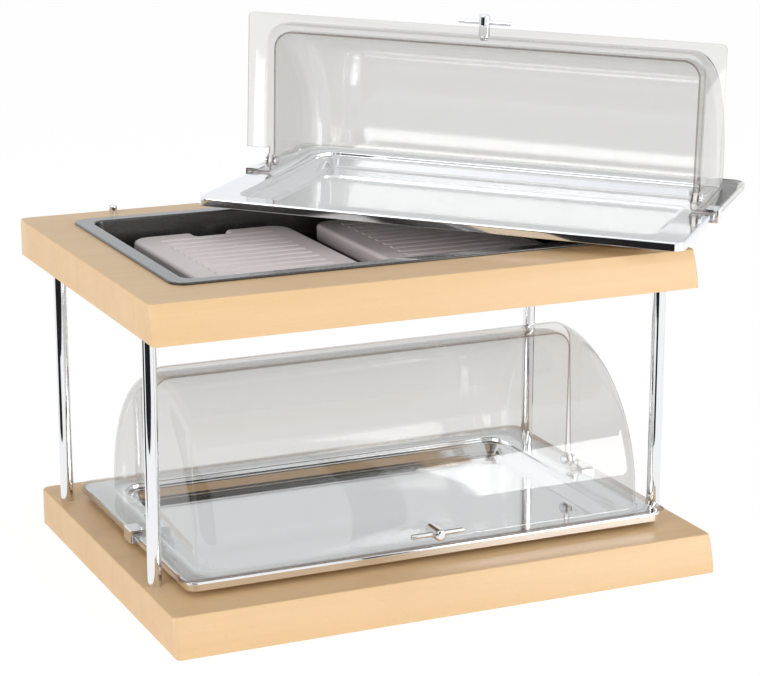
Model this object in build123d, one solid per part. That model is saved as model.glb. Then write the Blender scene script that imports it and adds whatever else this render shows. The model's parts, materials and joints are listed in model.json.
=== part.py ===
from build123d import *
from math import asin, cos, degrees, radians, sin
import os

# A two-tier cooled buffet display: two beech boards on four chrome columns, each board with a
# polished serving tray under a clear roll-top cover. The upper board holds a black tub with two
# cold packs, and its tray stands askew over the tub with the cover rolled open.
# Millimetres. The origin is the centre of the lower board's underside. +Z is up, -Y is the front.

# Boards
board_thickness = 38.0
front_slope = 11.5          # how far the front face leans back from its bottom edge to its top edge
front_bulge = 2.0           # how far the front face bows out of a straight line
rear_corner_radius = 10.0
front_corner_chamfer = 3.0
board_edge_radius = 1.5
upper_setback = 48.0        # the upper board stands this much further back
cover_headroom = 69.0       # free height between the lower cover and the upper board

# Columns and what fastens them
column_diameter = 14.0
column_gap = 6.0            # between a column and the ends of the covers
column_end_inset = 14.0     # from a board's end to a column's axis
column_front_inset = 103.0  # from the lower board's front edge to the front columns
column_back_inset = 52.0    # from the lower board's back edge to the back columns
column_seat = 20.0          # how deep a column stands in a board
column_chamfer = 0.8
socket_clearance = 0.1
screw_diameter = 6.0
screw_reach = 12.0          # how far the screw goes into the column
screw_head_diameter = 10.0
screw_head_height = 6.0
screw_hex = 5.0
screw_recess = 2.0          # how far the screw head sits above the board's underside
washer_diameter = 18.0
washer_thickness = 1.6
hole_clearance = 0.3
insert_diameter = 12.0
insert_length = 11.0
stud_diameter = 8.0

# Black tub let into the upper board
tub_fit = 3.0               # all round between the tray's body and the tub's mouth
tub_front_inset = 70.0      # from the upper board's front edge to the tub's rim
tub_back_inset = 44.0       # from the tub's rim to the upper board's back edge
tub_rim_width = 15.0        # how far the rim reaches past the well's outside
tub_rim_thickness = 2.5
tub_rim_corner = 16.0
tub_drop = 36.0             # from the board's top down to the tub's underside
tub_wall = 2.0
tub_draft = 3.0
tub_well_corner = 16.0
tub_clearance = 1.0

# Cold packs
pack_height = 19.0
pack_end_gap = 35.0         # from a pack to the tub's end, at the mouth
pack_side_gap = 18.0        # from a pack to the tub's front and back, at the mouth
pack_gap = 31.0             # between the packs
pack_corner_radius = 22.0
pack_edge_radius = 4.0
pack_ridge_count = 12
pack_ridge_height = 1.0
pack_ridge_width = 9.0
pack_ridge_margin = 26.0
pack_dimple_pitch = 122.0
pack_dimple_shift = -15.0   # from the pack's middle to the middle of its two dimples
pack_dimple_radius = 5.7
pack_dimple_depth = 1.2
notch_width = 38.0          # the notch in the back edge, which shelters the filling plug
notch_depth = 20.0
notch_corner_radius = 6.0
plug_diameter = 10.0
plug_seat = 3.0
plug_reach = 4.0

# Stop pins behind the tub
stop_pin_spacing = 380.0
stop_pin_gap = 25.5         # from the tub's rim back to a pin's axis
stop_pin_diameter = 9.0
stop_pin_height = 10.0
stop_spigot_diameter = 6.0
stop_spigot_length = 14.0

# Serving tray
tray_length = 518.0
tray_depth = 334.0
tray_height = 17.0          # from the underside to the top of the rim
tray_sheet = 1.2
tray_corner_radius = 12.0
tray_lip = 9.0              # how far the rim's outer edge turns down
tray_end_rim = 34.0
tray_side_rim = 24.0
body_corner_radius = 21.0   # corners of the step inside the rim
tray_step = 5.0             # the drop inside the rim
tray_ledge = 7.0            # the flat below that drop
tray_slope = 30.0           # lean of the side walls, in degrees from upright
tray_recess = 2.0           # how deep the lower tray stands in its board
tray_recess_clearance = 3.0
tray_standing_gap = 0.1

# Roll-top covers
cover_wall = 2.0
cover_front_inset = 13.0    # from the tray's front edge to the front shell's outside
shell_gap = 7.0             # between the nested shells
cover_end_inset = 17.0      # from the tray's end to the front shell's end wall
end_gap = 4.0               # between the nested end walls
cover_corner_radius = 22.0
pivot_rise = 12.0           # pivot above the tray's rim
flange_thickness = 2.0
flange_clearance = 0.4
flange_overhang = 4.0
flange_lip = 5.0
lip_clearance = 1.0
front_flange_inset = 2.0    # from the tray's front edge back to the front flange
front_flange_corner = 6.0
front_flange_end = 16.0     # from the pivot forward to where the front flange ends
rear_flange_start = 12.0    # from the pivot forward to where the rear flange starts
shell_overlap_front = 3.0   # how far past upright the front shell reaches, in degrees
shell_overlap_rear = 1.5    # how far past upright the rear shell reaches, in degrees
quarter_turn = 90.0         # from the border at a shell's foot round to upright
open_angle = 90.0

# Pivots
pivot_diameter = 6.0
pivot_running_clearance = 0.08
pivot_seat_clearance = 0.02
pivot_head_diameter = 10.0
pivot_head_height = 3.0
pivot_head_radius = 1.2
pivot_side_play = 0.2
ear_radius = 8.0
spacer_diameter = 12.0
nut_diameter = 10.0
nut_height = 2.8

# Clips that hold the rear cover on the tray's rim
clip_sheet = 1.2
clip_width = 22.0
clip_grip = 13.0
clip_clearance = 0.2

# Handles
handle_stem_diameter = 12.0
handle_stem_length = 24.0
handle_stem_radius = 3.0
handle_bar_diameter = 5.0
handle_bar_length = 58.0
handle_bar_reach = 15.0     # from the cover to the bar's axis
handle_rise = 2.0           # handle above the pivot when the cover is closed
handle_screw_diameter = 4.0
handle_screw_reach = 8.0
handle_head_diameter = 8.0
handle_head_height = 2.4
handle_seat_gap = 0.1

# Where the upper tray stands, askew: its right end is on the tub's front corner, and the right stop
# pin under its back edge tilts it
askew_x = 172.0
askew_y = 95.0
askew_turn = -42.5

# Levels and places that follow from the sizes above
body_length = tray_length - 2 * tray_end_rim
body_depth = tray_depth - 2 * tray_side_rim
ledge_level = tray_height - tray_step
pivot_level = tray_height + pivot_rise
flange_bottom = flange_clearance - pivot_rise
flange_top = flange_bottom + flange_thickness
flange_length = tray_length + 2 * flange_overhang
rear_reach = tray_depth / 2 + flange_overhang
front_reach = tray_depth / 2 - front_flange_inset
front_radius = tray_depth / 2 - cover_front_inset
front_length = tray_length - 2 * cover_end_inset
rear_length = front_length - 2 * (cover_wall + end_gap)
rear_radius = front_radius - cover_wall - shell_gap
mouth_length = body_length + 2 * tub_fit
mouth_depth = body_depth + 2 * tub_fit
well_length = mouth_length + 2 * tub_wall
well_depth = mouth_depth + 2 * tub_wall
tub_length = well_length + 2 * tub_rim_width
tub_depth = well_depth + 2 * tub_rim_width
board_depth = tub_front_inset + tub_depth + tub_back_inset
column_x = flange_length / 2 + column_gap + column_diameter / 2
column_front_y = column_front_inset - board_depth / 2
column_back_y = board_depth / 2 - column_back_inset
board_length = 2 * (column_x + column_end_inset)
lower_top = board_thickness
upper_bottom = lower_top - tray_recess + pivot_level + front_radius + cover_headroom
upper_top = upper_bottom + board_thickness
washer_seat = screw_recess + screw_head_height + washer_thickness
tub_y = upper_setback - board_depth / 2 + tub_front_inset + tub_depth / 2
tub_top = upper_top + tub_rim_thickness
pack_length = (mouth_length - 2 * pack_end_gap - pack_gap) / 2
pack_depth = mouth_depth - 2 * pack_side_gap
notch_floor = pack_depth / 2 - notch_depth
stop_pin_y = tub_y + tub_depth / 2 + stop_pin_gap
askew_cos = cos(radians(askew_turn))
askew_sin = sin(radians(askew_turn))
pin_along = (stop_pin_spacing / 2 - askew_x) * askew_cos + (stop_pin_y - askew_y) * askew_sin
corner_x = tub_length / 2 - tub_rim_corner
corner_y = tub_y - tub_depth / 2 + tub_rim_corner
corner_along = (corner_x - askew_x) * askew_cos + (corner_y - askew_y) * askew_sin + tub_rim_corner
askew_rise = (stop_pin_height - tub_rim_thickness) / (corner_along - pin_along)
askew_level = tub_top + tray_standing_gap + corner_along * askew_rise
askew_tilt = degrees(asin(askew_rise))
lower_place = Pos(0, 0, lower_top - tray_recess + tray_standing_gap)
upper_place = Pos(askew_x, askew_y, askew_level) * Rot(Z=askew_turn) * Rot(Y=askew_tilt)


def rounded_block(length, depth, corner, bottom, top):
    return extrude(Pos(0, 0, bottom) * RectangleRounded(length, depth, corner), top - bottom)


def tapered_well(length, depth, corner, top, drop, draft):
    # a rounded block that narrows downwards from its top face
    face = Plane(origin=(0, 0, top), z_dir=(0, 0, -1)) * RectangleRounded(length, depth, corner)
    return extrude(face, drop, taper=draft)


def upright_rod(diameter, bottom, top):
    return Pos(0, 0, (bottom + top) / 2) * Cylinder(diameter / 2, top - bottom)


def lying_rod(diameter, start, end):
    # a round bar along X, from one x to another
    return Pos((start + end) / 2, 0, 0) * Rot(Y=90) * Cylinder(diameter / 2, abs(end - start))


def column_places():
    return [Pos(x, y, 0) for y in (column_front_y, column_back_y) for x in (-column_x, column_x)]


def beech_board():
    # the side profile has a leaning, slightly bowed front face
    front = -board_depth / 2
    back = board_depth / 2
    middle = (front + front_slope / 2 - front_bulge, board_thickness / 2)
    outline = Polyline((front + front_slope, board_thickness), (back, board_thickness), (back, 0), (front, 0))
    face = make_face(outline + ThreePointArc((front, 0), middle, (front + front_slope, board_thickness)))
    board = extrude(Plane.YZ * face, board_length / 2, both=True)
    upright = board.edges().filter_by(Axis.Z)
    board = fillet(upright, rear_corner_radius)
    ends = board.faces().sort_by(Axis.X)
    front_edges = [end.edges().sort_by(Axis.Y)[0] for end in (ends[0], ends[-1])]
    board = chamfer(front_edges, front_corner_chamfer)
    top = board.faces().sort_by(Axis.Z)[-1]
    return fillet(top.edges(), board_edge_radius)


def lower_board():
    board = beech_board()
    clearance = 2 * tray_recess_clearance
    floor = lower_top - tray_recess
    board -= rounded_block(body_length + clearance, body_depth + clearance,
                           body_corner_radius + tray_recess_clearance, floor, lower_top + 1)
    for place in column_places():
        board -= place * upright_rod(column_diameter + 2 * socket_clearance, lower_top - column_seat,
                                     lower_top + 1)
        board -= place * upright_rod(screw_diameter + 2 * hole_clearance, 0, lower_top)
        board -= place * upright_rod(washer_diameter + 2 * hole_clearance, -1, washer_seat)
    return board


def upper_board():
    board = Pos(0, upper_setback, upper_bottom) * beech_board()
    grown = 2 * tub_clearance
    board -= Pos(0, tub_y, 0) * rounded_block(well_length + grown, well_depth + grown,
                                              tub_well_corner + tub_clearance,
                                              upper_bottom - 1, upper_top + 1)
    for place in column_places():
        board -= place * upright_rod(column_diameter + 2 * socket_clearance, upper_bottom - 1,
                                     upper_bottom + column_seat)
        board -= place * upright_rod(insert_diameter, upper_bottom + column_seat,
                                     upper_bottom + column_seat + insert_length)
    for side in (-1, 1):
        board -= Pos(side * stop_pin_spacing / 2, stop_pin_y, 0) * upright_rod(
            stop_spigot_diameter, upper_top - stop_spigot_length, upper_top + 1)
    return board


def column():
    # a round bar with a tapped hole below and a turned-down stud above
    bottom = lower_top - column_seat
    top = upper_bottom + column_seat
    bar = upright_rod(column_diameter, bottom, top)
    bar = chamfer(bar.edges().filter_by(GeomType.CIRCLE), column_chamfer)
    bar += upright_rod(stud_diameter, top, top + insert_length)
    return bar - upright_rod(screw_diameter, bottom - 1, bottom + screw_reach)


def column_screw():
    head_bottom = screw_recess
    head_top = head_bottom + screw_head_height
    screw = upright_rod(screw_head_diameter, head_bottom, head_top)
    screw += upright_rod(screw_diameter, head_top, lower_top - column_seat + screw_reach)
    socket = Pos(0, 0, head_bottom) * RegularPolygon(screw_hex / 2, 6, major_radius=False)
    return screw - extrude(socket, screw_head_height / 2)


def column_washer():
    seat = screw_recess + screw_head_height
    ring = upright_rod(washer_diameter, seat, seat + washer_thickness)
    return ring - upright_rod(screw_diameter + 2 * hole_clearance, seat - 1, washer_seat + 1)


def column_insert():
    seat = upper_bottom + column_seat
    sleeve = upright_rod(insert_diameter, seat, seat + insert_length)
    return sleeve - upright_rod(stud_diameter, seat - 1, seat + insert_length + 1)


def tub():
    rim = rounded_block(tub_length, tub_depth, tub_rim_corner, upper_top, tub_top)
    well = tapered_well(well_length, well_depth, tub_well_corner, upper_top, tub_drop, tub_draft)
    inner_corner = tub_well_corner - tub_wall
    inside = tapered_well(mouth_length, mouth_depth, inner_corner, upper_top, tub_drop - tub_wall, tub_draft)
    mouth = rounded_block(mouth_length, mouth_depth, inner_corner, upper_top, tub_top)
    return Pos(0, tub_y, 0) * (rim + well - inside - mouth)


def pack_place(side):
    return Pos(side * (pack_length + pack_gap) / 2, tub_y, upper_top - tub_drop + tub_wall)


def pack_outline():
    outline = RectangleRounded(pack_length, pack_depth, pack_corner_radius)
    outline -= Pos(0, pack_depth / 2, 0) * RectangleRounded(notch_width, 2 * notch_depth, notch_corner_radius)
    # the notch's two outer corners are rounded as well
    mouth = outline.vertices().filter_by(lambda v: abs(abs(v.X) - notch_width / 2) < 0.01
                                         and abs(v.Y - pack_depth / 2) < 0.01)
    return fillet(mouth, notch_corner_radius)


def cold_pack(side):
    pack = extrude(pack_outline(), pack_height)
    rims = pack.faces().sort_by(Axis.Z)
    pack = fillet(rims[0].edges() + rims[-1].edges(), pack_edge_radius)
    # low rounded ridges across the top, in front of the notch
    ridge_length = pack_length - 2 * pack_ridge_margin
    first = pack_ridge_margin - pack_depth / 2
    last = notch_floor - pack_edge_radius - pack_ridge_width / 2
    pitch = (last - first) / (pack_ridge_count - 1)
    section = Ellipse(pack_ridge_width / 2, pack_ridge_height)
    for number in range(pack_ridge_count):
        across = Plane(origin=(0, first + number * pitch, pack_height), x_dir=(0, 1, 0), z_dir=(1, 0, 0))
        pack += extrude(across * section, ridge_length / 2, both=True)
    # two round dimples tie the top to the underside
    for end in (-1, 1):
        y = pack_dimple_shift + end * pack_dimple_pitch / 2
        rise = pack_height + pack_dimple_radius - pack_dimple_depth
        pack -= Pos(0, y, rise) * Sphere(pack_dimple_radius)
    return pack_place(side) * (pack - plug_rod(notch_floor - plug_seat, notch_floor + 1))


def plug_rod(start, end):
    # a round bar along Y at half the pack's height, from one y to another
    return Pos(0, (start + end) / 2, pack_height / 2) * Rot(X=90) * Cylinder(plug_diameter / 2, end - start)


def pack_plug(side):
    return pack_place(side) * plug_rod(notch_floor - plug_seat, notch_floor + plug_reach)


def stop_pin(side):
    head = upright_rod(stop_pin_diameter, upper_top, upper_top + stop_pin_height)
    head = fillet(head.edges().sort_by(Axis.Z)[-1:], stop_pin_diameter / 3)
    spigot = upright_rod(stop_spigot_diameter, upper_top - stop_spigot_length, upper_top)
    return Pos(side * stop_pin_spacing / 2, stop_pin_y, 0) * (head + spigot)


def tray():
    # pressed sheet: a flat rim with a turned-down edge, a step, a ledge, sloping walls and a floor
    sheet = tray_sheet
    rim = rounded_block(tray_length, tray_depth, tray_corner_radius, tray_height - tray_lip, tray_height)
    rim -= rounded_block(tray_length - 2 * sheet, tray_depth - 2 * sheet, tray_corner_radius - sheet,
                         tray_height - tray_lip - 1, tray_height - sheet)
    step = rounded_block(body_length, body_depth, body_corner_radius, ledge_level - sheet, tray_height)
    bowl = tapered_well(body_length - 2 * tray_ledge + 2 * sheet, body_depth - 2 * tray_ledge + 2 * sheet,
                        body_corner_radius - tray_ledge + sheet, ledge_level - sheet,
                        ledge_level - sheet, tray_slope)
    shallow = rounded_block(body_length - 2 * sheet, body_depth - 2 * sheet, body_corner_radius - sheet,
                            ledge_level, tray_height + 1)
    hollow = tapered_well(body_length - 2 * tray_ledge, body_depth - 2 * tray_ledge,
                          body_corner_radius - tray_ledge, ledge_level, ledge_level - sheet, tray_slope)
    return rim + step + bowl - shallow - hollow


def shell_section(length, radius, corner):
    # half of a rounded frame, from the pivot axis outwards
    outer = RectangleRounded(length, 2 * radius, corner)
    inner = RectangleRounded(length - 2 * cover_wall, 2 * (radius - cover_wall), corner - cover_wall)
    return (outer - inner) & Pos(0, radius / 2, 0) * Rectangle(length + 1, radius)


def rolled_shell(length, radius, corner, start, arc):
    return revolve(Rot(X=start) * shell_section(length, radius, corner), Axis.X, arc)


def skirt(length, radius, corner, near, far):
    # the upright wall from the pivot's level down to the flange, between two values of y
    outer = RectangleRounded(length, 2 * radius, corner)
    inner = RectangleRounded(length - 2 * cover_wall, 2 * (radius - cover_wall), corner - cover_wall)
    strip = Pos(0, (near + far) / 2, 0) * Rectangle(length + 1, abs(far - near))
    return extrude(Pos(0, 0, flange_bottom) * ((outer - inner) & strip), -flange_bottom)


def flange(length, reach, corner, near, far, shell_length, radius, shell_corner):
    # the flat border round the shell's foot, between two values of y
    outer = RectangleRounded(length, 2 * reach, corner)
    inner = RectangleRounded(shell_length - 2 * cover_wall, 2 * (radius - cover_wall),
                             shell_corner - cover_wall)
    strip = Pos(0, (near + far) / 2, 0) * Rectangle(length + 1, abs(far - near))
    return extrude(Pos(0, 0, flange_bottom) * ((outer - inner) & strip), flange_thickness)


def pivot_ears(length, hole):
    ears = Part()
    holes = Part()
    for side in (-1, 1):
        ears += lying_rod(2 * ear_radius, side * (length / 2 - cover_wall), side * length / 2)
        holes += lying_rod(hole, side * (length / 2 - cover_wall - 1), side * (length / 2 + 1))
    return ears, holes


def front_cover():
    # modelled closed, about the pivot axis
    corner = cover_corner_radius
    cover = rolled_shell(front_length, front_radius, corner, quarter_turn - shell_overlap_front,
                         quarter_turn + shell_overlap_front)
    cover += skirt(front_length, front_radius, corner, -front_radius, -front_flange_end)
    cover += flange(flange_length, front_reach, front_flange_corner, -front_reach, -front_flange_end,
                    front_length, front_radius, corner)
    ears, holes = pivot_ears(front_length, pivot_diameter + 2 * pivot_running_clearance)
    cover = cover + ears - holes
    bolt = Rot(X=90) * Cylinder(handle_screw_diameter / 2 + hole_clearance, 4 * cover_wall)
    return cover - Pos(0, -front_radius, handle_rise) * bolt


def rear_cover():
    corner = cover_corner_radius - cover_wall
    cover = rolled_shell(rear_length, rear_radius, corner, 0, quarter_turn + shell_overlap_rear)
    cover += skirt(rear_length, rear_radius, corner, -rear_flange_start, rear_radius)
    lip_corner = tray_corner_radius + flange_overhang
    cover += flange(flange_length, rear_reach, lip_corner, -rear_flange_start, rear_reach,
                    rear_length, rear_radius, corner)
    # a lip that hooks down outside the tray's rim
    outer = RectangleRounded(flange_length, 2 * rear_reach, lip_corner)
    margin = 2 * lip_clearance
    inner = RectangleRounded(tray_length + margin, tray_depth + margin, tray_corner_radius + lip_clearance)
    strip = Pos(0, (rear_reach - rear_flange_start) / 2, 0) * Rectangle(flange_length + 1,
                                                                       rear_reach + rear_flange_start)
    cover += extrude(Pos(0, 0, flange_bottom - flange_lip) * ((outer - inner) & strip), flange_lip)
    ears, holes = pivot_ears(rear_length, pivot_diameter + 2 * pivot_seat_clearance)
    return cover + ears - holes


def pivot_pin(side):
    head_start = front_length / 2 + pivot_side_play
    head_end = head_start + pivot_head_height
    pin = lying_rod(pivot_head_diameter, head_start, head_end)
    pin = fillet(pin.edges().sort_by(Axis.X)[-1:], pivot_head_radius)
    pin += lying_rod(pivot_diameter, rear_length / 2 - cover_wall - nut_height, head_start)
    return pin if side > 0 else mirror(pin, Plane.YZ)


def pivot_spacer(side):
    start = rear_length / 2
    end = start + end_gap - pivot_side_play
    ring = lying_rod(spacer_diameter, start, end)
    ring -= lying_rod(pivot_diameter + 2 * pivot_seat_clearance, start - 1, end + 1)
    return ring if side > 0 else mirror(ring, Plane.YZ)


def pivot_nut(side):
    end = rear_length / 2 - cover_wall
    ring = lying_rod(nut_diameter, end - nut_height, end)
    ring -= lying_rod(pivot_diameter + 2 * pivot_seat_clearance, end - nut_height - 1, end + 1)
    return ring if side > 0 else mirror(ring, Plane.YZ)


def cover_clip(side):
    # bent sheet: over the rear flange, down outside it and in under the tray's rim
    outside = flange_length / 2 + clip_clearance
    over = flange_top
    under = -pivot_rise - tray_lip - clip_clearance
    sheet = clip_sheet
    outline = Polyline(
        (outside - clip_grip, over), (outside, over), (outside, under),
        (outside - clip_grip, under), (outside - clip_grip, under - sheet), (outside + sheet, under - sheet),
        (outside + sheet, over + sheet), (outside - clip_grip, over + sheet), close=True)
    clip = extrude(Plane.XZ * make_face(outline), clip_width / 2, both=True)
    clip = fillet(clip.edges().filter_by(Axis.Y).sort_by(Axis.X)[-2:], sheet * 0.8)
    return clip if side > 0 else mirror(clip, Plane.YZ)


def handle_stem():
    # stands out of the closed cover towards the front, with a cross hole for the bar
    stem = Cylinder(handle_stem_diameter / 2, handle_stem_length, align=(Align.CENTER, Align.CENTER, Align.MIN))
    stem = fillet(stem.edges().sort_by(Axis.Z)[-1:], handle_stem_radius)
    stem -= Cylinder(handle_screw_diameter / 2, handle_screw_reach,
                     align=(Align.CENTER, Align.CENTER, Align.MIN))
    stem -= Pos(0, 0, handle_bar_reach) * lying_rod(handle_bar_diameter, -handle_stem_diameter,
                                                    handle_stem_diameter)
    return Pos(0, -front_radius, handle_rise) * Rot(X=90) * stem


def handle_bar():
    bar = lying_rod(handle_bar_diameter, -handle_bar_length / 2, handle_bar_length / 2)
    bar = fillet(bar.edges().filter_by(GeomType.CIRCLE), handle_bar_diameter / 4)
    return Pos(0, -front_radius - handle_bar_reach, handle_rise) * bar


def handle_screw():
    low = (Align.CENTER, Align.CENTER, Align.MIN)
    seat = cover_wall + handle_seat_gap
    screw = Pos(0, 0, -seat) * Cylinder(handle_screw_diameter / 2, seat + handle_screw_reach, align=low)
    head = Pos(0, 0, -seat - handle_head_height) * Cylinder(handle_head_diameter / 2, handle_head_height,
                                                            align=low)
    head = fillet(head.edges().sort_by(Axis.Z)[:1], handle_head_height / 3)
    return Pos(0, -front_radius, handle_rise) * Rot(X=90) * (screw + head)


def base_pieces():
    pieces = {"lower_board": lower_board(), "upper_board": upper_board()}
    names = ("column_front_left", "column_front_right", "column_back_left", "column_back_right")
    for name, place in zip(names, column_places()):
        pieces[name] = place * column()
    pieces["column_screws"] = group([place * column_screw() for place in column_places()])
    pieces["column_washers"] = group([place * column_washer() for place in column_places()])
    pieces["column_inserts"] = group([place * column_insert() for place in column_places()])
    pieces["tub"] = tub()
    pieces["pack_plugs"] = group([pack_plug(side) for side in (-1, 1)])
    for side, hand in ((-1, "left"), (1, "right")):
        pieces["cold_pack_" + hand] = cold_pack(side)
        pieces["stop_pin_" + hand] = stop_pin(side)
    return pieces


def covered_tray(name, place, opening):
    # one serving tray with its cover; the front shell and its handle are turned open by an angle
    pivot = place * Pos(0, 0, pivot_level)
    turned = pivot * Rot(X=-opening)
    pieces = {"tray": place * tray(), "rear_cover": pivot * rear_cover(), "front_cover": turned * front_cover()}
    pieces["pivot_spacers"] = group([pivot * pivot_spacer(side) for side in (-1, 1)])
    pieces["pivot_nuts"] = group([pivot * pivot_nut(side) for side in (-1, 1)])
    for side, hand in ((-1, "left"), (1, "right")):
        pieces["pivot_pin_" + hand] = pivot * pivot_pin(side)
        pieces["cover_clip_" + hand] = pivot * cover_clip(side)
    pieces["handle_stem"] = turned * handle_stem()
    pieces["handle_bar"] = turned * handle_bar()
    pieces["handle_screw"] = turned * handle_screw()
    return {name + "_" + piece: shape for piece, shape in pieces.items()}


def group(shapes):
    return Compound(children=shapes)


def main():
    os.makedirs("parts", exist_ok=True)
    pieces = base_pieces()
    pieces.update(covered_tray("lower", lower_place, 0))
    pieces.update(covered_tray("upper", upper_place, open_angle))
    for node, shape in pieces.items():
        export_step(shape, os.path.join("parts", node + ".step"))


main()
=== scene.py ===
import json
from math import asin, atan2, cos, pi, radians, sin, tan

import bmesh
import bpy
from mathutils import Matrix, Vector


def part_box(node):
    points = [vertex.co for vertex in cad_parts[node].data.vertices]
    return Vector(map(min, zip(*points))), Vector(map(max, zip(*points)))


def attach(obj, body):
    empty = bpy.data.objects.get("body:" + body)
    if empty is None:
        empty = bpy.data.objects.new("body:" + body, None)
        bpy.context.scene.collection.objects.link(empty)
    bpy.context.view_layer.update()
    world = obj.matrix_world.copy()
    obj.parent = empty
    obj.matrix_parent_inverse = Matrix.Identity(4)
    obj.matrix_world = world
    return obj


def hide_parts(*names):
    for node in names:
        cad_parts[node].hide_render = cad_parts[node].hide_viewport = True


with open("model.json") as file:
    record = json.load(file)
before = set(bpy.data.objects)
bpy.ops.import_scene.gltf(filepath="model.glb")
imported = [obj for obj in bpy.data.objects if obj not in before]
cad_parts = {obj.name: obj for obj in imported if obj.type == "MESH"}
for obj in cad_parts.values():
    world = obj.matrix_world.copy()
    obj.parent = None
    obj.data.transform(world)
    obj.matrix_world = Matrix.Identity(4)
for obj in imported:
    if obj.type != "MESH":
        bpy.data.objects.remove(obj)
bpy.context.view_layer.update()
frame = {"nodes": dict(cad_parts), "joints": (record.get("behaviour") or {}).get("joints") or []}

bpy.ops.object.select_all(action="DESELECT")
mm = 0.001
joints = {joint["name"]: joint for joint in frame["joints"]}
nodes = frame["nodes"]


# Where each covered tray stands: its pivot is the origin of all that is modelled for it

def unitPlace(jointName):
    joint = joints[jointName]
    along = -Vector(joint["axis"])
    return (Matrix.Translation(joint["pos_m"]) @ Matrix.Rotation(atan2(along.y, along.x), 4, "Z")
            @ Matrix.Rotation(-asin(along.z), 4, "Y"))


units = {
    "lower": {"place": unitPlace("lower_cover_opens"), "opened": 0.0,
              "tray": "lower_covered_tray", "shell": "lower_front_shell"},
    "upper": {"place": unitPlace("upper_cover_closes"), "opened": 90.0,
              "tray": "upper_covered_tray", "shell": "upper_front_shell"},
}
for name, unit in units.items():
    print("placed", name, [round(v, 3) for v in unit["place"].translation])


# Shader maths

class Value:
    # one socket of a node tree, so that a material's maths can be written as an expression
    def __init__(self, tree, socket=None):
        self.tree = tree
        self.socket = socket

    def node(self, kind, settings, inputs, output=0):
        made = self.tree.nodes.new(kind)
        for name, setting in settings.items():
            setattr(made, name, setting)
        for name, value in inputs.items():
            if isinstance(value, Value):
                self.tree.links.new(value.socket, made.inputs[name])
            else:
                made.inputs[name].default_value = value
        return Value(self.tree, made.outputs[output])

    def maths(self, operation, first, second):
        return self.node("ShaderNodeMath", {"operation": operation}, {0: first, 1: second})

    def __add__(self, other):
        return self.maths("ADD", self, other)

    __radd__ = __add__

    def __sub__(self, other):
        return self.maths("SUBTRACT", self, other)

    def __rsub__(self, other):
        return self.maths("SUBTRACT", other, self)

    def __mul__(self, other):
        return self.maths("MULTIPLY", self, other)

    __rmul__ = __mul__

    def __truediv__(self, other):
        return self.maths("DIVIDE", self, other)


def newFinish(name):
    # an empty material, its builder and its Principled shader
    material = bpy.data.materials.new(name)
    material.use_nodes = True
    material.node_tree.nodes.clear()
    shader = material.node_tree.nodes.new("ShaderNodeBsdfPrincipled")
    return material, Value(material.node_tree), shader


def surfaceOf(build, shader):
    return Value(build.tree, shader.outputs[0])


def closeFinish(material, surface):
    output = material.node_tree.nodes.new("ShaderNodeOutputMaterial")
    material.node_tree.links.new(surface.socket, output.inputs["Surface"])
    return material


def objectPoint(build):
    return build.node("ShaderNodeTexCoord", {}, {}, "Object")


def axes(build, vector):
    split = build.node("ShaderNodeSeparateXYZ", {}, {"Vector": vector})
    outputs = split.socket.node.outputs
    return [Value(build.tree, outputs[axis]) for axis in "XYZ"]


def noise(build, vector, pattern):
    # a pattern is its scale per metre, its detail and its roughness
    scale, detail, roughness = pattern
    return build.node("ShaderNodeTexNoise", {}, {"Vector": vector, "Scale": scale, "Detail": detail,
                                                 "Roughness": roughness})


def mixColours(build, factor, first, second):
    # sockets 6 and 7 are the colour pair of a Mix node
    return build.node("ShaderNodeMix", {"data_type": "RGBA"}, {0: factor, 6: first, 7: second}, 2)


def mixShaders(build, factor, first, second):
    return build.node("ShaderNodeMixShader", {}, {0: factor, 1: first, 2: second})


def mapRange(build, value, start, end, low, high):
    return build.node("ShaderNodeMapRange", {}, {"Value": value, "From Min": start, "From Max": end,
                                                 "To Min": low, "To Max": high})


def bump(build, height, strength, distance):
    return build.node("ShaderNodeBump", {}, {"Height": height, "Strength": strength,
                                             "Distance": distance})


def rayIs(build, *kinds):
    # one factor for each kind of ray asked for
    outputs = build.node("ShaderNodeLightPath", {}, {}).socket.node.outputs
    return [Value(build.tree, outputs[f"Is {kind} Ray"]) for kind in kinds]


def feed(build, shader, **links):
    # links named by the shader's sockets, with underscores for spaces
    for name, value in links.items():
        build.tree.links.new(value.socket, shader.inputs[name.replace("_", " ")])


def setConstants(shader, **numbers):
    for name, number in numbers.items():
        shader.inputs[name.replace("_", " ")].default_value = number


def dimmed(colour, share):
    return (*(share * v for v in colour[:3]), 1)


# Finishes

beech = {
    "stave": 0.088,                         # width of one glued stave
    "staveShift": 0.0285,
    "glueWidth": 0.0007,
    "toneSeed": 0.37,
    # how patterns are drawn out along and across the staves, and how they jump from one to the next
    "figureStretch": (0.9, 13), "figureJump": 3.1,
    "grainStretch": (5, 210), "grainJump": 1.7,
    "rayStretch": (160, 900),
    "figure": (2.4, 3, 0.55), "grain": (1.0, 4, 0.6), "rays": (1.0, 1, 0.5),
    "figureShare": 0.55, "grainShare": 0.28, "toneShare": 0.34, "lighter": 0.12,
    "fleckStart": 0.66, "fleckFull": 0.74, "fleckShare": 0.3,
    "glueShare": 0.55,
    "light": (0.89, 0.65, 0.385, 1),
    "dark": (0.74, 0.47, 0.225, 1),
    "glue": (0.56, 0.34, 0.17, 1),
    "fleck": (0.66, 0.43, 0.23, 1),
    "roughness": 0.42, "grainRoughness": 0.14,
    "grainHeight": 0.6, "glueDepth": 0.8, "strength": 0.22, "distance": 0.0004,
    "coat": 0.22, "coatRoughness": 0.28, "refraction": 1.45,
}


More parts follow.
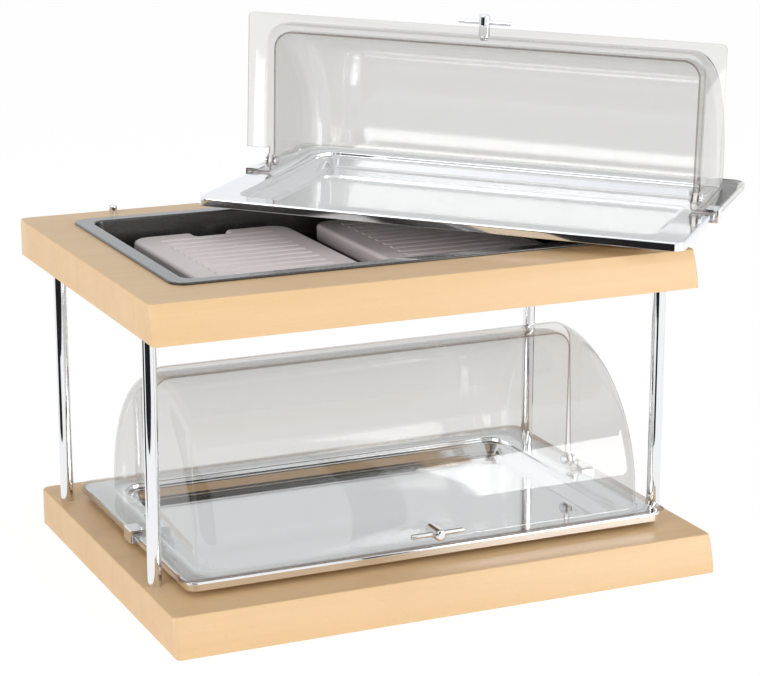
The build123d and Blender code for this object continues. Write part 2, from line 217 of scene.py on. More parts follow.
def drawnOut(build, point, stretch, jump):
    x, y, z = point
    along, across = stretch
    return build.node("ShaderNodeCombineXYZ", {}, {"X": x * along + jump, "Y": y * across,
                                                   "Z": z * across})


def beechFinish():
    facts = beech
    material, build, shader = newFinish("beech")
    point = axes(build, objectPoint(build))
    # which stave a point is on, and how far it is from the stave's edge
    across = (point[1] + facts["staveShift"]) / facts["stave"]
    number = build.node("ShaderNodeMath", {"operation": "FLOOR"}, {0: across})
    inside = across - number
    edge = build.maths("MINIMUM", inside, 1 - inside) * facts["stave"]
    glue = mapRange(build, edge, 0.0, facts["glueWidth"], 1.0, 0.0)
    tone = build.node("ShaderNodeTexWhiteNoise", {"noise_dimensions": "1D"},
                      {"W": number + facts["toneSeed"]}, "Value")
    # grain drawn out along the staves and shifted from stave to stave
    figurePoint = drawnOut(build, point, facts["figureStretch"], number * facts["figureJump"])
    figure = noise(build, figurePoint, facts["figure"])
    grainPoint = drawnOut(build, point, facts["grainStretch"], number * facts["grainJump"])
    grain = noise(build, grainPoint, facts["grain"])
    # short dark rays, the fleck that beech has
    rays = noise(build, drawnOut(build, point, facts["rayStretch"], 0.0), facts["rays"])
    fleck = mapRange(build, rays, facts["fleckStart"], facts["fleckFull"], 0.0, facts["fleckShare"])
    body = (figure * facts["figureShare"] + grain * facts["grainShare"] + tone * facts["toneShare"]
            - facts["lighter"])
    colour = mixColours(build, body, facts["light"], facts["dark"])
    colour = mixColours(build, fleck, colour, facts["fleck"])
    colour = mixColours(build, glue * facts["glueShare"], colour, facts["glue"])
    height = grain * facts["grainHeight"] - glue * facts["glueDepth"]
    feed(build, shader, Base_Color=colour,
         Roughness=facts["roughness"] + grain * facts["grainRoughness"],
         Normal=bump(build, height, facts["strength"], facts["distance"]))
    setConstants(shader, Coat_Weight=facts["coat"], Coat_Roughness=facts["coatRoughness"],
                 IOR=facts["refraction"])
    return closeFinish(material, surfaceOf(build, shader))


metals = {
    "chrome": {"tint": (0.87, 0.875, 0.89, 1), "roughness": 0.03, "smear": 0.03, "ripple": 0.001},
    "mirrorSteel": {"tint": (0.93, 0.94, 0.955, 1), "roughness": 0.05, "smear": 0.05,
                    "ripple": 0.004},
    "plainSteel": {"tint": (0.58, 0.58, 0.59, 1), "roughness": 0.27, "smear": 0.12, "ripple": 0.2},
    "brass": {"tint": (0.74, 0.56, 0.27, 1), "roughness": 0.24, "smear": 0.14, "ripple": 0.2},
}

metalWear = {
    "smear": (26.0, 4, 0.6), "ripples": (420.0, 2, 0.5),
    "rippleDepth": 0.00003,
    "wornTint": 0.86, "wornShare": 0.28,
}


def metalFinish(name):
    # polished or turned metal: wiping marks vary its gloss, and faint ripples bend its reflections
    facts = metals[name]
    material, build, shader = newFinish(name)
    point = objectPoint(build)
    smear = noise(build, point, metalWear["smear"])
    ripples = noise(build, point, metalWear["ripples"])
    worn = mixColours(build, smear * metalWear["wornShare"], facts["tint"],
                      dimmed(facts["tint"], metalWear["wornTint"]))
    feed(build, shader, Base_Color=worn, Roughness=facts["roughness"] + smear * facts["smear"],
         Normal=bump(build, ripples, facts["ripple"], metalWear["rippleDepth"]))
    setConstants(shader, Metallic=1.0)
    return closeFinish(material, surfaceOf(build, shader))


plastics = {
    "tubBlack": {"tint": (0.018, 0.015, 0.013, 1), "pale": (0.032, 0.028, 0.026, 1),
                 "roughness": 0.24, "grain": 1400.0, "depth": 0.00002, "strength": 0.2,
                 "coat": 0.7},
    "packGrey": {"tint": (0.73, 0.65, 0.63, 1), "pale": (0.84, 0.77, 0.75, 1),
                 "roughness": 0.36, "grain": 520.0, "depth": 0.00012, "strength": 0.30,
                 "coat": 0.05},
    "plugWhite": {"tint": (0.70, 0.66, 0.64, 1), "pale": (0.80, 0.77, 0.75, 1),
                  "roughness": 0.38, "grain": 700.0, "depth": 0.00008, "strength": 0.2,
                  "coat": 0.0},
    "nylon": {"tint": (0.78, 0.78, 0.765, 1), "pale": (0.88, 0.88, 0.87, 1),
              "roughness": 0.36, "grain": 800.0, "depth": 0.00005, "strength": 0.2,
              "coat": 0.0},
}

moulded = {
    "cloud": (17.0, 3, 0.55),
    "grainDetail": 3, "grainRough": 0.6,
    "grainRoughness": 0.16, "cloudRoughness": 0.06, "smoother": 0.08,
    "refraction": 1.49,
}


def plasticFinish(name):
    # moulded plastic with a fine spark-eroded grain and cloudy changes of tone
    facts = plastics[name]
    material, build, shader = newFinish(name)
    point = objectPoint(build)
    cloud = noise(build, point, moulded["cloud"])
    grain = noise(build, point, (facts["grain"], moulded["grainDetail"], moulded["grainRough"]))
    feed(build, shader, Base_Color=mixColours(build, cloud, facts["tint"], facts["pale"]),
         Roughness=(facts["roughness"] + grain * moulded["grainRoughness"]
                    + cloud * moulded["cloudRoughness"] - moulded["smoother"]),
         Normal=bump(build, grain, facts["strength"], facts["depth"]))
    setConstants(shader, Coat_Weight=facts["coat"], IOR=moulded["refraction"])
    return closeFinish(material, surfaceOf(build, shader))


clearSmear = (21.0, 4, 0.6)

clearSheets = {
    # what one face lets through where it is looked at squarely and where it is looked at along
    "clear": {"square": (0.928, 0.926, 0.919, 1), "along": (0.74, 0.73, 0.715, 1), "gloss": 0.06},
    # the cut edges let through a darker, browner veil: painted shade for the dark lines that
    # refraction draws along a clear wall's edges
    "clearEdgePaintedShade": {"square": (0.60, 0.54, 0.52, 1), "along": (0.42, 0.36, 0.34, 1), "gloss": 0.04},
}

clearGloss = {
    "bright": (0.96, 0.96, 0.955, 1), "dull": (0.90, 0.90, 0.90, 1),
    "roughness": 0.02, "smearRoughness": 0.05,
    "blend": 0.5,                           # of the Layer Weight node, which gives a plain facing
}


def clearFinish(name):
    # clear moulded plastic as a thin sheet: a faint veil, and gloss that grows towards grazing; on
    # the cut edges the veil is darker, as painted shade
    facts = clearSheets[name]
    material, build, shader = newFinish(name)
    smear = noise(build, objectPoint(build), clearSmear)
    grazing = build.node("ShaderNodeLayerWeight", {}, {"Blend": clearGloss["blend"]}, "Facing")
    squared = grazing * grazing
    mirrored = facts["gloss"] + (1 - facts["gloss"]) * (squared * squared * grazing)
    feed(build, shader,
         Base_Color=mixColours(build, smear, clearGloss["bright"], clearGloss["dull"]),
         Roughness=clearGloss["roughness"] + smear * clearGloss["smearRoughness"])
    setConstants(shader, Metallic=1.0)
    square = build.node("ShaderNodeBsdfTransparent", {}, {"Color": facts["square"]})
    along = build.node("ShaderNodeBsdfTransparent", {}, {"Color": facts["along"]})
    veil = mixShaders(build, squared * grazing, square, along)
    return closeFinish(material, mixShaders(build, mirrored, veil, surfaceOf(build, shader)))


clearInner = {
    "tint": (0.862, 0.858, 0.845, 1), "smearTint": 0.97,
    "shade": (0.93, 0.925, 0.92, 1),        # what lamps send through
    "refraction": 1.001,
}


def clearInnerFinish():
    # the wall's inner face passes light on unbent, and lamps shine through it
    material, build, shader = newFinish("clearInner")
    smear = noise(build, objectPoint(build), clearSmear)
    dulled = dimmed(clearInner["tint"], clearInner["smearTint"])
    feed(build, shader, Base_Color=mixColours(build, smear, clearInner["tint"], dulled))
    setConstants(shader, Transmission_Weight=1.0, IOR=clearInner["refraction"], Roughness=0.0)
    passing = build.node("ShaderNodeBsdfTransparent", {}, {"Color": clearInner["shade"]})
    shadow, = rayIs(build, "Shadow")
    return closeFinish(material, mixShaders(build, shadow, surfaceOf(build, shader), passing))


finishes = {
    "beech": beechFinish(),
    "clearInner": clearInnerFinish(),
    **{name: clearFinish(name) for name in clearSheets},
    **{name: metalFinish(name) for name in metals},
    **{name: plasticFinish(name) for name in plastics},
}
print("made", len(finishes), "finishes")


# Modelling helpers, each one a step that is done by hand in the same way

modelling = {
    "near": 1e-6,               # places this close count as one, in metres
    "nearAngle": 1e-4,          # and so do directions this close, in radians
    "merge": 1e-5,              # vertices this close become one
    "ringSpacing": 0.02,        # how far apart outlines are while they are bridged
    "hold": 0.5,                # in mm, how far from a wide band's ends its flat is held
    "wideBand": 6,              # how many times that a band has to measure to be held
    "capInset": 4,              # how many times that the ring in the cap is smaller
    "edgeAngle": 60,            # edges sharper than this many degrees are rounded
    "edgeSegments": 2,
}
near = modelling["near"]


def startMesh(name):
    bpy.ops.object.select_all(action="DESELECT")
    bpy.ops.mesh.primitive_plane_add(size=1)
    piece = bpy.context.object
    piece.name = name
    piece.data.name = name
    bpy.ops.object.mode_set(mode="EDIT")
    bpy.ops.mesh.select_all(action="SELECT")
    bpy.ops.mesh.delete(type="VERT")
    return piece


def addOutline(piece, length, depth, corner, height, segments):
    # a rounded rectangle of edges: a plane with its corners rounded; returns its vertex numbers
    before = len(bmesh.from_edit_mesh(piece.data).verts)
    bpy.ops.mesh.select_all(action="DESELECT")
    bpy.ops.mesh.primitive_plane_add(size=1, location=(0, 0, height))
    bpy.ops.transform.resize(value=(length, depth, 1), center_override=(0, 0, height))
    bpy.ops.mesh.bevel(offset=corner, segments=segments, affect="VERTICES")
    bpy.ops.mesh.delete(type="ONLY_FACE")
    return before, len(bmesh.from_edit_mesh(piece.data).verts)


def startChoice(piece, kind):
    bpy.ops.mesh.select_mode(type=kind)
    bpy.ops.mesh.select_all(action="DESELECT")
    return bmesh.from_edit_mesh(piece.data)


def chooseRange(piece, low, high):
    # vertices by number
    mesh = startChoice(piece, "VERT")
    mesh.verts.ensure_lookup_table()
    for number in range(low, high):
        mesh.verts[number].select = True
    mesh.select_flush(True)
    bmesh.update_edit_mesh(piece.data)


def chooseEdges(piece, test, mostFaces=9):
    # edges of which both ends pass, and which border few enough faces
    mesh = startChoice(piece, "EDGE")
    for edge in mesh.edges:
        passes = all(test(vertex.co) for vertex in edge.verts)
        edge.select = len(edge.link_faces) <= mostFaces and passes
    bmesh.update_edit_mesh(piece.data)


def choosePoint(piece, place):
    # the nearest vertex to a place
    mesh = startChoice(piece, "VERT")
    min(mesh.verts, key=lambda vertex: (vertex.co - Vector(place)).length).select = True
    bmesh.update_edit_mesh(piece.data)


def mergeAll():
    bpy.ops.mesh.select_all(action="SELECT")
    bpy.ops.mesh.remove_doubles(threshold=modelling["merge"])


def bridgeRings(piece, first, second):
    # a band of faces between two outlines, given by their vertex numbers
    mesh = startChoice(piece, "EDGE")
    mesh.verts.index_update()
    numbers = {*range(*first), *range(*second)}
    for edge in mesh.edges:
        if len(edge.link_faces) < 2 and all(vertex.index in numbers for vertex in edge.verts):
            edge.select = True
    bmesh.update_edit_mesh(piece.data)
    bpy.ops.mesh.bridge_edge_loops()


def holdFlats(rings):
    # a ring near each end of a wide band keeps it flat in the light, and one inside the last ring
    # holds the cap
    reach = modelling["hold"] * mm
    held = [rings[0]]
    for first, second in zip(rings, rings[1:]):
        # length and depth count for half, because a band lies on both sides
        width = max(abs(a - b) / 2 if n < 2 else abs(a - b)
                    for n, (a, b) in enumerate(zip(first, second)))
        if width > modelling["wideBand"] * reach:
            for share in (reach / width, 1 - reach / width):
                held.append(tuple(a + (b - a) * share for a, b in zip(first, second)))
        held.append(second)
    length, depth, corner, height = rings[-1]
    inset = modelling["capInset"] * reach
    return held + [(length - inset, depth - inset, corner, height)]


def stackRings(name, rings, segments=8):
    # outlines one above the other, bridged into a skin and capped at the last one; they are bridged
    # well apart and then brought to their heights, because at one level they would be joined askew
    piece = startMesh(name)
    rings = holdFlats(rings)
    ranges = [addOutline(piece, length, depth, corner, -number * modelling["ringSpacing"], segments)
              for number, (length, depth, corner, height) in enumerate(rings)]
    for first, second in zip(ranges, ranges[1:]):
        bridgeRings(piece, first, second)
    for numbers, ring in zip(ranges, rings):
        chooseRange(piece, *numbers)
        bpy.ops.transform.resize(value=(1, 1, 0), center_override=(0, 0, ring[3]))
    chooseRange(piece, *ranges[-1])
    bpy.ops.mesh.edge_face_add()
    bpy.ops.mesh.select_all(action="SELECT")
    bpy.ops.mesh.normals_make_consistent(inside=False)
    bpy.ops.object.mode_set(mode="OBJECT")
    return piece


def makeActive(piece):
    bpy.ops.object.select_all(action="DESELECT")
    bpy.context.view_layer.objects.active = piece
    piece.select_set(True)


def applyAll(piece):
    makeActive(piece)
    for modifier in list(piece.modifiers):
        bpy.ops.object.modifier_apply(modifier=modifier.name)


def thicken(piece, wall, edgeSlot=0, innerSlot=0):
    solid = piece.modifiers.new("wall", "SOLIDIFY")
    solid.material_offset_rim = edgeSlot
    solid.material_offset = innerSlot
    solid.thickness = wall
    solid.offset = -1
    solid.use_even_offset = True


def roundEdges(piece, width):
    rounding = piece.modifiers.new("edges", "BEVEL")
    rounding.width = width
    rounding.segments = modelling["edgeSegments"]
    rounding.limit_method = "ANGLE"
    rounding.angle_limit = radians(modelling["edgeAngle"])
    rounding.harden_normals = False


def smooth(piece, angle):
    makeActive(piece)
    bpy.ops.object.shade_smooth_by_angle(angle=radians(angle))


def copyTo(piece, name, matrix):
    # a copy with its own mesh, its place in the mesh and its object at the origin
    twin = piece.copy()
    twin.data = piece.data.copy()
    twin.name = name
    twin.data.name = name
    bpy.context.scene.collection.objects.link(twin)
    twin.data.transform(matrix)
    return twin


def arc(centre, radius, start, end, steps):
    # points round a bend as pairs, from one angle to another in degrees
    turn = [radians(start + (end - start) * step / steps) for step in range(steps + 1)]
    return [(centre[0] + radius * cos(a), centre[1] + radius * sin(a)) for a in turn]


def insetRings(length, depth, corner, profile, top=0, cornerShare=1):
    # an outline for each point of a profile, which is how far in and how high it lies, in mm
    return [((length - 2 * inset) * mm, (depth - 2 * inset) * mm,
             (corner - inset * cornerShare) * mm, (top + rise) * mm) for inset, rise in profile]


def formSheet(name, rings, facts):
    # a pressing or a moulding: a skin of rings with a wall and rounded edges
    piece = stackRings(name, rings)
    thicken(piece, facts["wall"] * mm)
    roundEdges(piece, facts["edge"] * mm)
    applyAll(piece)
    smooth(piece, facts["smooth"])
    return piece


def finishPiece(piece, material, body, slot, *replaced):
    if not piece.data.materials:
        piece.data.materials.append(finishes[material])
    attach(piece, body)
    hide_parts(*replaced)


# Serving trays: pressed steel, modelled about the cover's pivot

tray = {
    "length": 518, "depth": 334, "corner": 12,      # outside of the rim, in mm
    "rimTop": -12,                                  # below the pivot
    "lip": 9, "lipBend": 2,
    "endRim": 34, "sideRim": 24, "innerCorner": 21,
    "step": 5, "stepBend": 1.5,
    "ledge": 7, "ledgeBend": 2,
    "slope": 30,                                    # degrees from upright
    "wellDepth": 15.8, "floorBend": 5,
    "wall": 1.2, "edge": 0.35, "smooth": 40,
}


def trayRings():
    facts = tray
    lipBend, stepBend, ledgeBend = facts["lipBend"], facts["stepBend"], facts["ledgeBend"]
    outside = [(0, -facts["lip"])] + arc((lipBend, -lipBend), lipBend, 180, 90, 4)
    # inside the rim, insets count from the step
    lean = radians(facts["slope"])
    bend = tan((pi / 2 - lean) / 2)
    ledgeStart = facts["ledge"] - ledgeBend * bend
    wall = facts["ledge"] + (facts["wellDepth"] - facts["step"]) * tan(lean)
    floorEnd = wall + facts["floorBend"] * bend
    inside = arc((-stepBend, -stepBend), stepBend, 90, 0, 4)
    inside += arc((stepBend, stepBend - facts["step"]), stepBend, 180, 270, 4)
    inside += arc((ledgeStart, -facts["step"] - ledgeBend), ledgeBend, 90, facts["slope"], 4)
    inside += arc((floorEnd, facts["floorBend"] - facts["wellDepth"]), facts["floorBend"],
                  180 + facts["slope"], 270, 6)
    top = facts["rimTop"]
    return (insetRings(facts["length"], facts["depth"], facts["corner"], outside, top)
            + insetRings(facts["length"] - 2 * facts["endRim"],
                         facts["depth"] - 2 * facts["sideRim"], facts["innerCorner"], inside, top))


trayMaster = formSheet("tray", trayRings(), tray)
for name, unit in units.items():
    piece = copyTo(trayMaster, name + "ServingTray", unit["place"])
    finishPiece(piece, "mirrorSteel", unit["tray"], "polished_steel", name + "_tray")
bpy.data.objects.remove(trayMaster)
print("pressed the trays")


# Black tub: a moulding with a rounded rim that lies on the board

tub = {
    "length": 490, "depth": 326, "corner": 16,      # outside of the rim, in mm
    "rimHeight": 2.5, "rimBend": 1.4,
    "mouthLength": 456, "mouthDepth": 292, "mouthCorner": 14, "mouthBend": 2.2,
    "wellDepth": 36.5,                              # from the rim's top to the floor
    "wallRings": (9, 18, 26),                       # how deep the rings in the wall are
    "draft": 3,                                     # degrees
    "cornerShare": 0.55,                            # how much sharper corners get further in
    "floorBend": 7,
    "wall": 2, "edge": 0.4, "smooth": 40,
}


def tubRings():
    facts = tub
    rimBend, mouthBend, floorBend = facts["rimBend"], facts["mouthBend"], facts["floorBend"]
    outside = [(0, -facts["rimHeight"])] + arc((rimBend, -rimBend), rimBend, 180, 90, 5)
    lean = tan(radians(facts["draft"]))
    floorInset = facts["wellDepth"] * lean
    turned = radians(90 - facts["draft"])
    inside = arc((-mouthBend, -mouthBend), mouthBend, 90, 0, 5)
    inside += [(depth * lean, -depth) for depth in facts["wallRings"]]
    inside += arc((floorInset + floorBend * tan(turned / 2), floorBend - facts["wellDepth"]),
                  floorBend, 180 + facts["draft"], 270, 7)
    return (insetRings(facts["length"], facts["depth"], facts["corner"], outside)
            + insetRings(facts["mouthLength"], facts["mouthDepth"], facts["mouthCorner"], inside,
                         cornerShare=facts["cornerShare"]))


tubPiece = formSheet("blackTub", tubRings(), tub)
low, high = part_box("tub")
tubPlace = Matrix.Translation(((low.x + high.x) / 2, (low.y + high.y) / 2, high.z))
tubPiece.data.transform(tubPlace)
finishPiece(tubPiece, "tubBlack", "base", "tub_plastic", "tub")
print("moulded the tub")


# Roll-top covers: two clear shells that nest, modelled closed about their pivot

cover = {
    "wall": 2.0,
    "flangeTop": -9.6,
    "foot": 2.5,                # radius where the wall turns out into the flange
    "lipBend": 1.6,
    "ear": 8.0,                 # round end of the wall that takes the pivot
    "edge": 0.45, "smooth": 34,
    # how many steps each bend has
    "cornerSteps": 10, "rollSteps": 56, "halfTurnSteps": 24, "earSteps": 12, "holeSteps": 16,
    "bendSteps": 4,
}

frontShell = {
    "side": -1,                 # -1 for the half in front of the pivot, 1 for the half behind it
    "length": 484, "radius": 154, "corner": 22,
    "hole": 3.08,
    "arc": 93,                  # degrees, from the flange's level past upright
    "start": -16,               # where skirt and flange begin, from the pivot
    "flangeLength": 526, "flangeReach": 165, "flangeCorner": 6,
    "lip": 0,
}

rearShell = {
    "side": 1,
    "length": 472, "radius": 145, "corner": 20,
    "hole": 3.02,
    "arc": 91.5,
    "start": -12,
    "flangeLength": 526, "flangeReach": 171, "flangeCorner": 16,
    "lip": 7,
}


def cutAt(position, normal, dropOuter=False):
    bpy.ops.mesh.select_all(action="SELECT")
    bpy.ops.mesh.bisect(plane_co=position, plane_no=normal, clear_outer=dropOuter)


def turnAboutPivot(steps, angle, side):
    # sweep what is chosen about the pivot's line, which runs along x
    bpy.ops.mesh.spin(steps=steps, angle=angle, center=(0, 0, 0), axis=(side, 0, 0))


def extrudeEdges(step):
    bpy.ops.mesh.extrude_edges_move(TRANSFORM_OT_translate={"value": step})


def bendEdges(radius):
    bpy.ops.mesh.bevel(offset=radius * mm, segments=cover["bendSteps"], affect="EDGES")


def closeFrontEnds(piece, facts):
    # each ear goes on the other way round, half a turn and then up to where the rolled wall ends
    ear = cover["ear"] * mm
    chooseEdges(piece, lambda co: abs(co.z) < near and -ear - near < co.y < 0)
    turnAboutPivot(cover["halfTurnSteps"], -pi, 1)
    chooseEdges(piece, lambda co: abs(co.z) < near and 0 < co.y < ear + near)
    turnAboutPivot(cover["earSteps"], radians(facts["arc"] - 180), 1)


def closeRearEnds(piece, facts):
    # end walls round the pivot: a quarter ear above, and a square part below with half of the hole
    ear, hole, start = cover["ear"] * mm, facts["hole"] * mm, facts["start"] * mm
    flangeTop = cover["flangeTop"] * mm
    last = radians(facts["arc"])
    for end in (-1, 1):
        x = end * facts["length"] / 2 * mm
        chooseEdges(piece, lambda co: abs(co.x - x) < near and co.yz.length < ear + near
                    and abs(atan2(co.z, co.y) - last) < modelling["nearAngle"])
        turnAboutPivot(cover["earSteps"], pi - last, -1)
        choosePoint(piece, (x, hole, 0))
        turnAboutPivot(cover["holeSteps"], -pi, -1)
        choosePoint(piece, (x, ear, flangeTop))
        for step in ((0, start - ear, 0), (0, 0, -flangeTop), (0, -start - ear, 0)):
            bpy.ops.mesh.extrude_vertices_move(TRANSFORM_OT_translate={"value": step})
        mergeAll()
        chooseEdges(piece, lambda co: abs(co.x - x) < near and co.z < near
                    and co.y < ear + near, 1)
        bpy.ops.mesh.edge_face_add()


def rollWall(piece, facts, limit):
    # the rolled wall with its ends, and the upright wall from the pivot's level to the flange
    side = facts["side"]
    addOutline(piece, facts["length"] * mm, 2 * facts["radius"] * mm, facts["corner"] * mm, 0,
               cover["cornerSteps"])
    # keep the half on its own side of the pivot, with a place for the pin's hole and the ear's edge
    cutAt((0, side * facts["hole"] * mm, 0), (0, -side, 0), True)
    cutAt((0, side * cover["ear"] * mm, 0), (0, 1, 0))
    cutAt((0, side * limit, 0), (0, 1, 0))
    bpy.ops.mesh.select_all(action="SELECT")
    turnAboutPivot(cover["rollSteps"], radians(facts["arc"]), -side)
    chooseEdges(piece, lambda co: abs(co.z) < near and co.y * side > limit - near)
    extrudeEdges((0, 0, cover["flangeTop"] * mm))
    if side < 0:
        closeFrontEnds(piece, facts)
    else:
        closeRearEnds(piece, facts)
    mergeAll()


def addFlange(piece, facts, limit):
    # an outline round the wall's foot, bridged to it; beside the rear shell's ears the flange is
    # drawn straight out
    side = facts["side"]
    flangeTop = cover["flangeTop"] * mm
    halfLength = facts["length"] / 2 * mm
    outline = addOutline(piece, facts["flangeLength"] * mm, 2 * facts["flangeReach"] * mm,
                         facts["flangeCorner"] * mm, flangeTop, cover["cornerSteps"])
    chooseRange(piece, *outline)
    bpy.ops.mesh.bisect(plane_co=(0, side * limit, 0), plane_no=(0, -side, 0), clear_outer=True)
    chooseEdges(piece, lambda co: abs(co.z - flangeTop) < near and co.y * side > limit - near, 1)
    bpy.ops.mesh.bridge_edge_loops()
    if side > 0:
        reach = (facts["flangeLength"] - facts["length"]) / 2 * mm
        for end in (-1, 1):
            chooseEdges(piece, lambda co: abs(co.z - flangeTop) < near and co.y < limit + near
                        and abs(co.x * end - halfLength) < near, 1)
            extrudeEdges((reach * end, 0, 0))
    mergeAll()


def bendFlange(piece, facts):
    # the lip that hooks down outside the tray, and the bend at the wall's foot
    side = facts["side"]
    flangeTop = cover["flangeTop"] * mm
    halfLength, radius = facts["length"] / 2 * mm, facts["radius"] * mm

    def inFoot(co):
        return abs(co.x) < halfLength + near and co.y * side < radius + near

    def atFoot(co):
        return abs(co.z - flangeTop) < near and inFoot(co)

    def atRim(co):
        return abs(co.z - flangeTop) < near and not inFoot(co)

    if facts["lip"]:
        chooseEdges(piece, atRim, 1)
        extrudeEdges((0, 0, -facts["lip"] * mm))
        chooseEdges(piece, atRim)
        bendEdges(cover["lipBend"])
    chooseEdges(piece, atFoot)
    bendEdges(cover["foot"])
    mergeAll()


def makeShell(name, facts):
    piece = startMesh(name)
    limit = max(cover["ear"] * mm, facts["start"] * facts["side"] * mm)
    rollWall(piece, facts, limit)
    addFlange(piece, facts, limit)
    bendFlange(piece, facts)
    bpy.ops.mesh.normals_make_consistent(inside=False)
    # an open shell's normals may all point in, which the rolled wall shows
    mesh = bmesh.from_edit_mesh(piece.data)
    outward = sum(face.normal.dot(face.calc_center_median()) for face in mesh.faces)
    if outward < 0:
        bpy.ops.mesh.flip_normals()
    bpy.ops.object.mode_set(mode="OBJECT")
    for finish in ("clear", "clearEdgePaintedShade", "clearInner"):
        piece.data.materials.append(finishes[finish])
    # the second finish goes on the cut edges, its darker veil painted shade; the third goes on the
    # inner faces
    thicken(piece, cover["wall"] * mm, 1, 2)
    applyAll(piece)
    roundEdges(piece, cover["edge"] * mm)
    applyAll(piece)
    smooth(piece, cover["smooth"])
    return piece


frontMaster = makeShell("frontShell", frontShell)
rearMaster = makeShell("rearShell", rearShell)
for name, unit in units.items():
    rolled = unit["place"] @ Matrix.Rotation(radians(-unit["opened"]), 4, "X")
    piece = copyTo(frontMaster, name + "FrontShell", rolled)
    finishPiece(piece, "clear", unit["shell"], "clear_plastic", name + "_front_cover")
    piece = copyTo(rearMaster, name + "RearShell", unit["place"])
    finishPiece(piece, "clear", unit["tray"], "clear_plastic", name + "_rear_cover")
bpy.data.objects.remove(frontMaster)
bpy.data.objects.remove(rearMaster)
print("moulded the covers")


# Finishes of the construction's own nodes

nodeFinishes = {
    "beech": ["lower_board", "upper_board"],
    "chrome": ["column_front_left", "column_front_right", "column_back_left", "column_back_right",
               "stop_pin_left", "stop_pin_right", "lower_pivot_pin_left", "lower_pivot_pin_right",
               "upper_pivot_pin_left", "upper_pivot_pin_right", "lower_handle_stem",
               "lower_handle_bar", "upper_handle_stem", "upper_handle_bar"],
    "mirrorSteel": ["lower_tray", "upper_tray", "lower_cover_clip_left", "lower_cover_clip_right",
                    "upper_cover_clip_left", "upper_cover_clip_right"],
    "plainSteel": ["column_screws", "column_washers", "lower_pivot_nuts", "upper_pivot_nuts",
                   "lower_handle_screw", "upper_handle_screw"],
    "brass": ["column_inserts"],
    "clear": ["lower_front_cover", "lower_rear_cover", "upper_front_cover", "upper_rear_cover"],
    "nylon": ["lower_pivot_spacers", "upper_pivot_spacers"],
    "tubBlack": ["tub"],
    "packGrey": ["cold_pack_left", "cold_pack_right"],
    "plugWhite": ["pack_plugs"],
}
for finish, names in nodeFinishes.items():
    for name in names:
        slots = nodes[name].data.materials
        if slots:
            for number in range(len(slots)):
                slots[number] = finishes[finish]
        else:
            slots.append(finishes[finish])
print("finished the construction's nodes")


# Camera, floor and light

cameraFacts = {
    "place": (-0.9642, -2.1751, 0.8451),
    "pitch": 75.412,            # degrees, 90 looks level
    "turn": -24.213,
    "lens": 113.02, "sensor": 36,
    "clipEnd": 60,
}

bpy.ops.object.camera_add(location=cameraFacts["place"],
                          rotation=(radians(cameraFacts["pitch"]), 0, radians(cameraFacts["turn"])))
camera = bpy.context.object
camera.data.lens = cameraFacts["lens"]
camera.data.sensor_width = cameraFacts["sensor"]
camera.data.clip_end = cameraFacts["clipEnd"]
bpy.context.scene.camera = camera

studio = {
    "floor": 14.0,
    "floorGlow": 0.89, "floorFade": 0.78,
    "floorPale": (0.84, 0.84, 0.835, 1), "floorGrey": (0.80, 0.80, 0.80, 1),
    "mottle": (3.0, 2, 0.5), "mottleShare": 0.2,
    "floorRoughness": 0.8,
    "zenith": 0.42, "horizon": 0.98,        # how strong the dome's light is
    "domeTop": 0.8,                         # the height of a direction from which zenith holds
    "dome": (0.96, 0.965, 0.97, 1),
    "backdrop": (1, 1, 1, 1),
    "mirrored": (0.91, 0.93, 0.955, 1),     # what polished metal sees above the horizon
    "cards": [
        # dark cards that only mirrors see: middle, width, height, turn in degrees
        ((-0.655, -0.53, 0.30), 1.00, 0.60, -49),
        ((0.05, -0.41, 0.20), 0.20, 0.40, -49),
        ((-0.62, 0.12, 0.25), 0.34, 0.50, -77),
        ((0.55, 0.20, 0.25), 0.10, 0.50, 90),
    ],
    "cardDark": (0.02, 0.02, 0.022, 1), "cardPale": (0.03, 0.03, 0.032, 1),
    "weave": (40.0, 2, 0.5),
    "cardRoughness": 0.9,
    "lamps": [
        # name, place, aim, width, height, watts
        ("overhead", (-0.2, 0.1, 2.4), (0, 0, 0.2), 2.4, 2.0, 3.5),
        ("leftWindow", (-2.3, -1.1, 0.85), (0, 0, 0.2), 1.6, 1.3, 25),
        ("frontRight", (1.8, -2.2, 0.75), (0, 0, 0.2), 1.4, 1.3, 33),
    ],
}


def seenDirectly(build):
    # 1 for what the camera, a mirror or the clear covers see, 0 for what lights the object
    camera, glossy, through = rayIs(build, "Camera", "Glossy", "Transmission")
    return build.maths("MINIMUM", camera + glossy + through, 1.0)


def floorFinish():
    # a white sweep: seen directly it is white with the object's soft shadow, and it lights as
    # pale paper does
    material, build, shader = newFinish("paleFloor")
    direct = seenDirectly(build)
    mottle = noise(build, objectPoint(build), studio["mottle"])
    paper = mixColours(build, mottle * studio["mottleShare"], studio["floorPale"],
                       studio["floorGrey"])
    faded = mixColours(build, direct * studio["floorFade"], paper, (0, 0, 0, 1))
    feed(build, shader, Base_Color=faded)
    setConstants(shader, Roughness=studio["floorRoughness"], Specular_IOR_Level=0.0)
    glow = build.node("ShaderNodeEmission", {}, {"Strength": direct * studio["floorGlow"]})
    both = build.node("ShaderNodeAddShader", {}, {0: glow, 1: surfaceOf(build, shader)})
    return closeFinish(material, both)


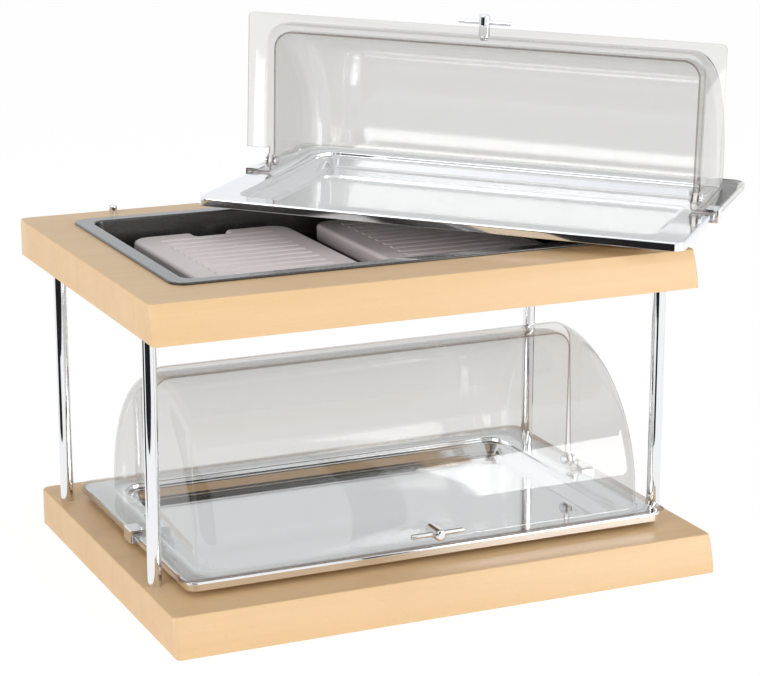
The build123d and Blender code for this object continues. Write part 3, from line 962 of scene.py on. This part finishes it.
def cardFinish():
    material, build, shader = newFinish("darkCard")
    weave = noise(build, objectPoint(build), studio["weave"])
    feed(build, shader,
         Base_Color=mixColours(build, weave, studio["cardDark"], studio["cardPale"]))
    setConstants(shader, Roughness=studio["cardRoughness"], Specular_IOR_Level=0.0)
    return closeFinish(material, surfaceOf(build, shader))


bpy.ops.mesh.primitive_plane_add(size=studio["floor"], location=(0, 0, 0))
floor = bpy.context.object
floor.name = "studio_floor"
floor.data.materials.append(floorFinish())

darkCard = cardFinish()
for number, (place, width, height, turn) in enumerate(studio["cards"]):
    bpy.ops.mesh.primitive_plane_add(size=1, location=place, rotation=(pi / 2, 0, radians(turn)))
    card = bpy.context.object
    card.name = f"studio_card_{number + 1}"
    card.scale = (width, height, 1)
    card.visible_camera = card.visible_diffuse = False
    card.visible_shadow = card.visible_transmission = False
    card.data.materials.append(darkCard)

for name, place, aim, width, height, watts in studio["lamps"]:
    bpy.ops.object.light_add(type="AREA", location=place)
    lamp = bpy.context.object
    lamp.name = name
    lamp.data.shape = "RECTANGLE"
    lamp.data.size = width
    lamp.data.size_y = height
    lamp.data.energy = watts
    lamp.rotation_euler = (Vector(aim) - Vector(place)).to_track_quat("-Z", "Y").to_euler()

world = bpy.data.worlds.new("studio")
bpy.context.scene.world = world
world.use_nodes = True
world.node_tree.nodes.clear()
sky = Value(world.node_tree)
backdrop = sky.node("ShaderNodeBackground", {}, {"Color": studio["backdrop"], "Strength": 1.0})
height = axes(sky, sky.node("ShaderNodeTexCoord", {}, {}, "Generated"))[2]
level = mapRange(sky, height, 0.0, studio["domeTop"], studio["horizon"], studio["zenith"])
dome = sky.node("ShaderNodeBackground", {}, {"Color": studio["dome"], "Strength": level})
ceiling = sky.node("ShaderNodeBackground", {}, {"Color": studio["mirrored"], "Strength": 1.0})
mirror, = rayIs(sky, "Glossy")
whole = mixShaders(sky, seenDirectly(sky), dome, mixShaders(sky, mirror, backdrop, ceiling))
worldOutput = world.node_tree.nodes.new("ShaderNodeOutputWorld")
world.node_tree.links.new(whole.socket, worldOutput.inputs["Surface"])
bpy.context.scene.view_settings.view_transform = "Standard"
print("lit the studio")
